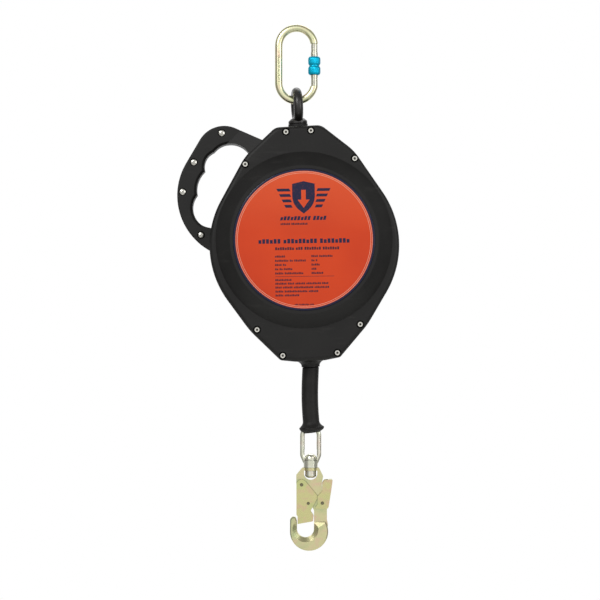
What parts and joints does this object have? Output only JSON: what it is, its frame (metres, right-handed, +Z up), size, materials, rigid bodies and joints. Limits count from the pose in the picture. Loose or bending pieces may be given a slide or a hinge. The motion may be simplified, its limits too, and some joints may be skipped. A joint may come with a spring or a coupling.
{
  "type": "self retracting lifeline",
  "caption": "Hanging retractable fall arrester with screw-lock karabiner, swivel eye, round moulded casing with side handle, spring drum, cable bumper and swivel snap hook.",
  "frame": {"origin": "inside apex of the karabiner's top bow, where the anchor point carries it", "axes": "+Z up, +Y away from the labelled face, +X to the right seen from the labelled face"},
  "size_m": [0.2977, 0.11, 0.7099],
  "materials": {
    "zinc_steel": "yellow zinc plated forged steel",
    "blue_sleeve": "blue anodised, knurled",
    "bright_steel": "bright zinc or plain bright steel",
    "black_eye": "gloss black coated forged steel",
    "black_abs": "fine textured black ABS",
    "orange_label": "printed label under a clear skin",
    "black_rubber": "moulded black rubber",
    "nylon": "moulded nylon",
    "frame_steel": "zinc plated plate",
    "machined_steel": "machined steel",
    "bronze": "sintered bronze",
    "cast_aluminium": "die cast aluminium",
    "wire_rope": "galvanised steel wire rope",
    "friction_lining": "pressed friction lining",
    "spring_steel": "blued spring steel strip"
  },
  "bodies": {
    "karabiner": {"karabiner_bow": "zinc_steel"},
    "karabiner_gate": {"karabiner_gate": "zinc_steel", "karabiner_pins": "bright_steel", "karabiner_plunger_and_spring": "bright_steel"},
    "karabiner_sleeve": {"karabiner_lock_sleeve": "blue_sleeve"},
    "top_eye": {"swivel_eye": "black_eye", "swivel_castle_nut": "machined_steel", "swivel_split_pin": "bright_steel", "swivel_washer": "machined_steel"},
    "casing": {"front_shell": "black_abs", "rear_shell": "black_abs", "front_label": "orange_label", "rear_label": "orange_label", "case_screws": "bright_steel", "case_nuts": "bright_steel", "handle_screws": "bright_steel", "cable_guide": "nylon", "front_frame_plate": "frame_steel", "rear_frame_plate": "frame_steel", "swivel_block": "machined_steel", "frame_bolts": "bright_steel", "frame_spacers": "frame_steel", "shaft_bushings": "bronze", "brake_housing": "cast_aluminium", "brake_linings": "friction_lining", "brake_pressure_plate": "frame_steel", "brake_disc_spring": "frame_steel", "brake_cover": "frame_steel", "brake_bolts": "bright_steel", "spring_case": "frame_steel", "spring_case_cover": "frame_steel", "spring_case_screws": "bright_steel", "power_spring": "spring_steel"},
    "spool": {"main_shaft": "machined_steel", "shaft_keys": "machined_steel", "shaft_circlip": "bright_steel", "drum_hub": "cast_aluminium", "front_drum_flange": "cast_aluminium", "rear_drum_flange": "cast_aluminium", "drum_screws": "bright_steel", "wound_cable": "wire_rope", "pawl_carrier": "frame_steel", "pawl_pins": "machined_steel", "pawl_springs": "bright_steel"},
    "pawl_a": {"pawl_a": "machined_steel"},
    "pawl_b": {"pawl_b": "machined_steel"},
    "ratchet_ring": {"ratchet_ring": "machined_steel"},
    "lifeline": {"lifeline_cable": "wire_rope", "ferrule": "cast_aluminium", "thimble": "bright_steel", "cable_bumper": "black_rubber"},
    "hook_link": {"hook_link": "zinc_steel"},
    "hook": {"hook_swivel_bolt": "zinc_steel", "hook_body": "zinc_steel", "hook_rivets": "bright_steel", "hook_lever_spring": "bright_steel", "hook_gate_spring": "bright_steel"},
    "hook_gate": {"hook_gate": "zinc_steel", "hook_lock_pin": "bright_steel"},
    "hook_lever": {"hook_lock_lever": "zinc_steel"}
  },
  "joints": [
    {"name": "karabiner_gate_hinge", "type": "hinge", "parent": "karabiner", "child": "karabiner_gate", "pos_m": [0.024, 0, -0.0215], "axis": [0, 1, 0], "range_deg": [0, 20], "stiffness_Nm_per_rad": 0.3, "springref_deg": -28.65},
    {"name": "karabiner_sleeve_slide", "type": "slide", "parent": "karabiner_gate", "child": "karabiner_sleeve", "axis": [0, 0, -1], "range_m": [0, 0.011]},
    {"name": "eye_swing", "type": "hinge", "parent": "karabiner", "child": "top_eye", "pos_m": [0, 0, -0.093], "axis": [1, 0, 0], "range_deg": [-60, 60]},
    {"name": "casing_swivel", "type": "hinge", "parent": "top_eye", "child": "casing", "pos_m": [0, 0, -0.0877], "axis": [-0.0523, 0, 0.9986], "continuous": true},
    {"name": "drum_spin", "type": "hinge", "parent": "casing", "child": "spool", "pos_m": [0.01018, 0, -0.28193], "axis": [0, 1, 0], "range_deg": [0, 212], "deforming": ["power_spring"]},
    {"name": "lifeline_pull", "type": "slide", "parent": "casing", "child": "lifeline", "axis": [0, 0, -1], "range_m": [0, 0.3], "stiffness_N_per_m": 30, "springref_m": -1, "deforming": ["lifeline_cable"]},
    {"name": "pawl_a_swing", "type": "hinge", "parent": "spool", "child": "pawl_a", "pos_m": [0.03614, -0.034, -0.28057], "axis": [0, -1, 0], "range_deg": [0, 18], "stiffness_Nm_per_rad": 0.05, "springref_deg": -34.38, "deforming": ["pawl_springs"]},
    {"name": "pawl_b_swing", "type": "hinge", "parent": "spool", "child": "pawl_b", "pos_m": [-0.01579, -0.034, -0.28329], "axis": [0, -1, 0], "range_deg": [0, 18], "stiffness_Nm_per_rad": 0.05, "springref_deg": -34.38},
    {"name": "ratchet_ring_slip", "type": "hinge", "parent": "casing", "child": "ratchet_ring", "pos_m": [0.01018, 0, -0.28193], "axis": [0, 1, 0], "continuous": true},
    {"name": "link_swing", "type": "hinge", "parent": "lifeline", "child": "hook_link", "pos_m": [0.0191, 0, -0.53369], "axis": [1, 0, 0], "range_deg": [-30, 30]},
    {"name": "hook_swivel", "type": "hinge", "parent": "hook_link", "child": "hook", "pos_m": [0.0191, 0, -0.58369], "axis": [0, 0, 1], "continuous": true},
    {"name": "hook_gate_hinge", "type": "hinge", "parent": "hook", "child": "hook_gate", "pos_m": [0.0068, 0, -0.61099], "axis": [0, -1, 0], "range_deg": [0, 20], "stiffness_Nm_per_rad": 0.4, "springref_deg": -28.65, "deforming": ["hook_gate_spring"]},
    {"name": "hook_lever_press", "type": "hinge", "parent": "hook", "child": "hook_lever", "pos_m": [0.0348, 0, -0.63559], "axis": [0, -1, 0], "range_deg": [0, 12], "stiffness_Nm_per_rad": 0.3, "springref_deg": -22.92, "deforming": ["hook_lever_spring"]}
  ],
  "couplings": [
    {"joint": "drum_spin", "follows": "lifeline_pull", "rad_per_m": 12.225}
  ]
}
